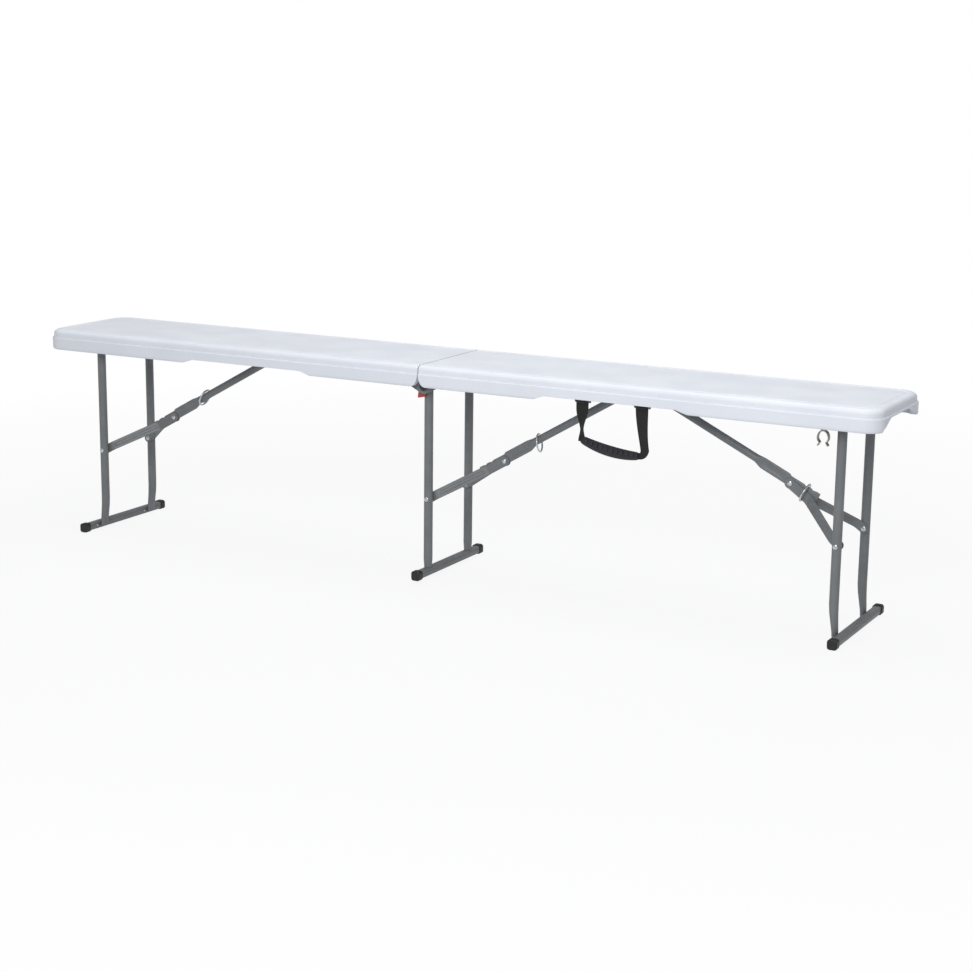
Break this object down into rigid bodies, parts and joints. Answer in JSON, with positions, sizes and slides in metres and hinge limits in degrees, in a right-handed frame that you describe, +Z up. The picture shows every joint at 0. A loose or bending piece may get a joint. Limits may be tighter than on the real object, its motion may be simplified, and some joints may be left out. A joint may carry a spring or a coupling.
{
  "type": "folding bench",
  "caption": "Long bench seat that folds in half like a case, on folding tube legs with locking braces, rings and a carry handle.",
  "frame": {"origin": "on the floor, below the middle of the seat", "axes": "+X along the seat towards the handle's half, -Y to the front, where the handle hangs, +Z up"},
  "size_m": [1.83, 0.274, 0.432],
  "materials": {
    "seat_plastic": "fine-grained moulded polyethylene",
    "grey_steel": "satin grey powder coat on steel tube and strip",
    "zinc": "bright zinc plate",
    "spring_steel": "bare spring strip",
    "cap_plastic": "moulded black plastic",
    "webbing": "woven black webbing",
    "grip_rubber": "ribbed soft rubber",
    "latch_plastic": "moulded red plastic"
  },
  "bodies": {
    "right_half": {"top_right": "seat_plastic", "rail_right_front": "grey_steel", "rail_right_rear": "grey_steel", "hinge_rod": "zinc", "bracket_right": "zinc", "leg_clip": "spring_steel"},
    "left_half": {"top_left": "seat_plastic", "rail_left_front": "grey_steel", "rail_left_rear": "grey_steel", "bracket_left": "zinc"},
    "left_leg": {"leg_left_crosstube": "grey_steel", "leg_left_tube_front": "grey_steel", "leg_left_tube_rear": "grey_steel", "leg_left_foot_bar": "grey_steel", "leg_left_cap_front": "cap_plastic", "leg_left_cap_rear": "cap_plastic", "rivet_left_tube_front": "zinc", "rivet_left_tube_rear": "zinc"},
    "left_brace": {"brace_left": "grey_steel"},
    "left_yoke": {"arm_left_front": "grey_steel", "arm_left_rear": "grey_steel", "rivet_left_elbow": "zinc", "rivet_left_arm_front": "zinc", "rivet_left_arm_rear": "zinc"},
    "left_ring": {"ring_left": "zinc"},
    "center_leg": {"leg_center_crosstube": "grey_steel", "leg_center_tube_front": "grey_steel", "leg_center_tube_rear": "grey_steel", "leg_center_foot_bar": "grey_steel", "leg_center_cap_front": "cap_plastic", "leg_center_cap_rear": "cap_plastic", "rivet_center_tube_front": "zinc", "rivet_center_tube_rear": "zinc"},
    "center_brace": {"brace_center": "grey_steel"},
    "center_yoke": {"arm_center_front": "grey_steel", "arm_center_rear": "grey_steel", "rivet_center_elbow": "zinc", "rivet_center_arm_front": "zinc", "rivet_center_arm_rear": "zinc"},
    "center_ring": {"ring_center": "zinc"},
    "right_leg": {"leg_right_crosstube": "grey_steel", "leg_right_tube_front": "grey_steel", "leg_right_tube_rear": "grey_steel", "leg_right_foot_bar": "grey_steel", "leg_right_cap_front": "cap_plastic", "leg_right_cap_rear": "cap_plastic", "rivet_right_tube_front": "zinc", "rivet_right_tube_rear": "zinc"},
    "right_brace": {"brace_right": "grey_steel"},
    "right_yoke": {"arm_right_front": "grey_steel", "arm_right_rear": "grey_steel", "rivet_right_elbow": "zinc", "rivet_right_arm_front": "zinc", "rivet_right_arm_rear": "zinc"},
    "right_ring": {"ring_right": "zinc"},
    "latch_lever": {"latch": "latch_plastic"},
    "carry_handle": {"strap_left": "webbing", "strap_right": "webbing", "grip": "grip_rubber"}
  },
  "joints": [
    {"name": "bench_fold", "type": "hinge", "parent": "right_half", "child": "left_half", "pos_m": [0, 0, 0.388], "axis": [0, -1, 0], "range_deg": [0, 180]},
    {"name": "left_leg_fold", "type": "hinge", "parent": "left_half", "child": "left_leg", "pos_m": [-0.804, 0, 0.406], "axis": [0, -1, 0], "range_deg": [0, 90]},
    {"name": "left_brace_swing", "type": "hinge", "parent": "left_half", "child": "left_brace", "pos_m": [-0.39261, 0, 0.4085], "axis": [0, 1, 0], "range_deg": [0, 29.19]},
    {"name": "left_elbow", "type": "hinge", "parent": "left_brace", "child": "left_yoke", "pos_m": [-0.67541, 0, 0.24533], "axis": [0, -1, 0], "range_deg": [0, 181]},
    {"name": "left_ring_slide", "type": "slide", "parent": "left_brace", "child": "left_ring", "axis": [0.8745, 0, 0.4851], "range_m": [0, 0.115]},
    {"name": "center_leg_fold", "type": "hinge", "parent": "right_half", "child": "center_leg", "pos_m": [0, 0, 0.388], "axis": [0, -1, 0], "range_deg": [0, 90]},
    {"name": "center_brace_swing", "type": "hinge", "parent": "right_half", "child": "center_brace", "pos_m": [0.40428, 0, 0.4085], "axis": [0, 1, 0], "range_deg": [0, 25.12]},
    {"name": "center_elbow", "type": "hinge", "parent": "center_brace", "child": "center_yoke", "pos_m": [0.12643, 0, 0.23704], "axis": [0, -1, 0], "range_deg": [0, 181]},
    {"name": "center_ring_slide", "type": "slide", "parent": "center_brace", "child": "center_ring", "axis": [0.8597, 0, 0.5107], "range_m": [0, 0.115]},
    {"name": "right_leg_fold", "type": "hinge", "parent": "right_half", "child": "right_leg", "pos_m": [0.834, 0, 0.406], "axis": [0, 1, 0], "range_deg": [0, 90]},
    {"name": "right_brace_swing", "type": "hinge", "parent": "right_half", "child": "right_brace", "pos_m": [0.42346, 0, 0.4085], "axis": [0, -1, 0], "range_deg": [0, 26.14]},
    {"name": "right_elbow", "type": "hinge", "parent": "right_brace", "child": "right_yoke", "pos_m": [0.71453, 0, 0.26059], "axis": [0, 1, 0], "range_deg": [0, 171.3]},
    {"name": "right_ring_slide", "type": "slide", "parent": "right_brace", "child": "right_ring", "axis": [-0.899, 0, 0.4379], "range_m": [0, 0.3048]},
    {"name": "latch_turn", "type": "hinge", "parent": "center_leg", "child": "latch_lever", "pos_m": [0, 0, 0.388], "axis": [0, 1, 0], "range_deg": [0, 15]},
    {"name": "handle_swing", "type": "hinge", "parent": "right_half", "child": "carry_handle", "pos_m": [0.403, -0.1087, 0.394], "axis": [-1, 0, 0], "range_deg": [0, 81]}
  ],
  "couplings": [
    {"joint": "left_leg_fold", "follows": "bench_fold", "ratio": 0.5},
    {"joint": "left_brace_swing", "follows": "bench_fold", "ratio": 0.16215},
    {"joint": "left_elbow", "follows": "bench_fold", "ratio": 1.0056},
    {"joint": "center_leg_fold", "follows": "bench_fold", "ratio": 0.5},
    {"joint": "center_brace_swing", "follows": "bench_fold", "ratio": 0.13956},
    {"joint": "center_elbow", "follows": "bench_fold", "ratio": 1.0056},
    {"joint": "right_leg_fold", "follows": "bench_fold", "ratio": 0.5},
    {"joint": "right_brace_swing", "follows": "bench_fold", "ratio": 0.14522},
    {"joint": "right_elbow", "follows": "bench_fold", "ratio": 0.95167},
    {"joint": "right_ring_slide", "follows": "bench_fold", "m_per_rad": 0.097},
    {"joint": "handle_swing", "follows": "bench_fold", "ratio": 0.45}
  ]
}
